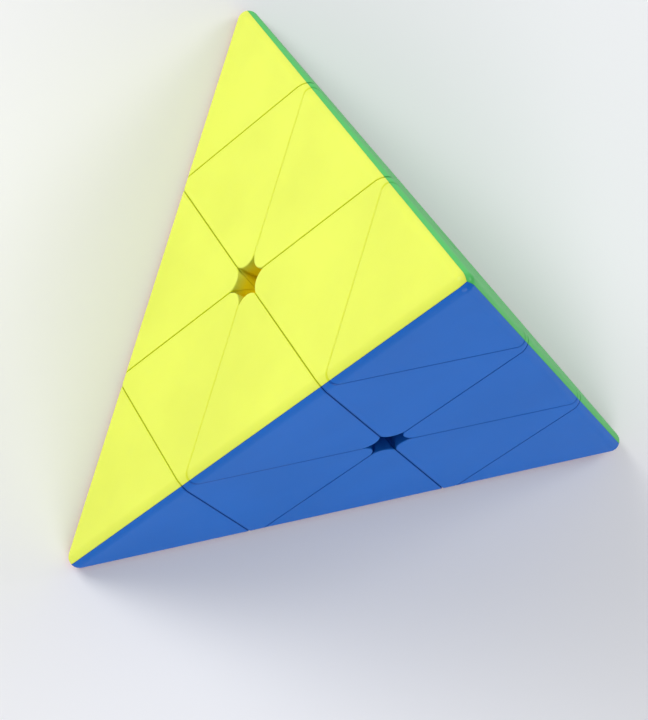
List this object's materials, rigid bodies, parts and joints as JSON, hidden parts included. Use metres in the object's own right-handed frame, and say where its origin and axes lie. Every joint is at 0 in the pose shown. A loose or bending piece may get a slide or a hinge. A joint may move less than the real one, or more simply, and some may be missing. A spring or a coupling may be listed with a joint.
{
  "type": "pyramid twisty puzzle",
  "caption": "Pyramid twisty puzzle with coloured tips, corners and edges that turn about one inner core; edges pass from corner to corner and magnets line the layers up.",
  "frame": {"origin": "middle of the puzzle, where all turning axes cross, 20.8 mm above the plane that the red face stands on", "axes": "+Z along the axis of the top corner and tip, up from the red face; the yellow face looks towards -Y and slants up; the left corner is at -X -Y, the right corner at +X -Y and the back corner at +Y"},
  "size_m": [0.0976, 0.0847, 0.0797],
  "materials": {
    "yellow": "glossy moulded",
    "blue": "glossy moulded",
    "green": "glossy moulded",
    "red": "glossy moulded",
    "frame": "satin moulded",
    "metal": "plated"
  },
  "bodies": {
    "core": {"core": "frame", "screws": "metal", "springs": "metal", "washers": "metal"},
    "corner_top": {"corner_top_yellow_cap": "yellow", "corner_top_blue_cap": "blue", "corner_top_green_cap": "green", "corner_top_frame": "frame", "corner_top_magnets": "metal"},
    "tip_top": {"tip_top_yellow_cap": "yellow", "tip_top_blue_cap": "blue", "tip_top_green_cap": "green", "tip_top_hub": "frame"},
    "corner_left": {"corner_left_yellow_cap": "yellow", "corner_left_green_cap": "green", "corner_left_red_cap": "red", "corner_left_frame": "frame", "corner_left_magnets": "metal"},
    "tip_left": {"tip_left_yellow_cap": "yellow", "tip_left_green_cap": "green", "tip_left_red_cap": "red", "tip_left_hub": "frame"},
    "corner_right": {"corner_right_yellow_cap": "yellow", "corner_right_blue_cap": "blue", "corner_right_red_cap": "red", "corner_right_frame": "frame", "corner_right_magnets": "metal"},
    "tip_right": {"tip_right_yellow_cap": "yellow", "tip_right_blue_cap": "blue", "tip_right_red_cap": "red", "tip_right_hub": "frame"},
    "corner_back": {"corner_back_blue_cap": "blue", "corner_back_green_cap": "green", "corner_back_red_cap": "red", "corner_back_frame": "frame", "corner_back_magnets": "metal"},
    "tip_back": {"tip_back_blue_cap": "blue", "tip_back_green_cap": "green", "tip_back_red_cap": "red", "tip_back_hub": "frame"},
    "edge_top_left": {"edge_top_left_yellow_half": "yellow", "edge_top_left_green_half": "green", "edge_top_left_magnets": "metal"},
    "edge_top_right": {"edge_top_right_yellow_half": "yellow", "edge_top_right_blue_half": "blue", "edge_top_right_magnets": "metal"},
    "edge_top_back": {"edge_top_back_blue_half": "blue", "edge_top_back_green_half": "green", "edge_top_back_magnets": "metal"},
    "edge_left_right": {"edge_left_right_yellow_half": "yellow", "edge_left_right_red_half": "red", "edge_left_right_magnets": "metal"},
    "edge_left_back": {"edge_left_back_green_half": "green", "edge_left_back_red_half": "red", "edge_left_back_magnets": "metal"},
    "edge_right_back": {"edge_right_back_blue_half": "blue", "edge_right_back_red_half": "red", "edge_right_back_magnets": "metal"}
  },
  "joints": [
    {"name": "turn_top", "type": "hinge", "parent": "core", "child": "corner_top", "pos_m": [0, 0, 0], "axis": [0, 0, 1], "range_deg": [-240, 120]},
    {"name": "turn_left", "type": "hinge", "parent": "core", "child": "corner_left", "pos_m": [0, 0, 0], "axis": [-0.8165, -0.4714, -0.3333], "range_deg": [-240, 120]},
    {"name": "turn_right", "type": "hinge", "parent": "core", "child": "corner_right", "pos_m": [0, 0, 0], "axis": [0.8165, -0.4714, -0.3333], "range_deg": [-240, 120]},
    {"name": "turn_back", "type": "hinge", "parent": "core", "child": "corner_back", "pos_m": [0, 0, 0], "axis": [0, 0.9428, -0.3333], "range_deg": [-240, 120]},
    {"name": "twist_top", "type": "hinge", "parent": "corner_top", "child": "tip_top", "pos_m": [0, 0, 0], "axis": [0, 0, 1], "continuous": true},
    {"name": "twist_left", "type": "hinge", "parent": "corner_left", "child": "tip_left", "pos_m": [0, 0, 0], "axis": [-0.8165, -0.4714, -0.3333], "continuous": true},
    {"name": "twist_right", "type": "hinge", "parent": "corner_right", "child": "tip_right", "pos_m": [0, 0, 0], "axis": [0.8165, -0.4714, -0.3333], "continuous": true},
    {"name": "twist_back", "type": "hinge", "parent": "corner_back", "child": "tip_back", "pos_m": [0, 0, 0], "axis": [0, 0.9428, -0.3333], "continuous": true},
    {"name": "carry_top_left", "type": "hinge", "parent": "corner_left", "child": "edge_top_left", "pos_m": [0, 0, 0], "axis": [0, 0, 1], "range_deg": [-240, 120]},
    {"name": "carry_top_right", "type": "hinge", "parent": "corner_top", "child": "edge_top_right", "pos_m": [0, 0, 0], "axis": [0.8165, -0.4714, -0.3333], "range_deg": [-240, 120]},
    {"name": "carry_top_back", "type": "hinge", "parent": "corner_top", "child": "edge_top_back", "pos_m": [0, 0, 0], "axis": [0, 0.9428, -0.3333], "range_deg": [-240, 120]},
    {"name": "carry_left_right", "type": "hinge", "parent": "corner_left", "child": "edge_left_right", "pos_m": [0, 0, 0], "axis": [0.8165, -0.4714, -0.3333], "range_deg": [-240, 120]},
    {"name": "carry_left_back", "type": "hinge", "parent": "corner_back", "child": "edge_left_back", "pos_m": [0, 0, 0], "axis": [-0.8165, -0.4714, -0.3333], "range_deg": [-240, 120]},
    {"name": "carry_right_back", "type": "hinge", "parent": "corner_back", "child": "edge_right_back", "pos_m": [0, 0, 0], "axis": [0.8165, -0.4714, -0.3333], "range_deg": [-240, 120]}
  ],
  "couplings": [
    {"joint": "carry_top_left", "follows": "turn_top", "ratio": 1},
    {"joint": "carry_top_right", "follows": "turn_right", "ratio": 1},
    {"joint": "carry_top_back", "follows": "turn_back", "ratio": 1},
    {"joint": "carry_left_right", "follows": "turn_right", "ratio": 1},
    {"joint": "carry_left_back", "follows": "turn_left", "ratio": 1},
    {"joint": "carry_right_back", "follows": "turn_right", "ratio": 1}
  ]
}
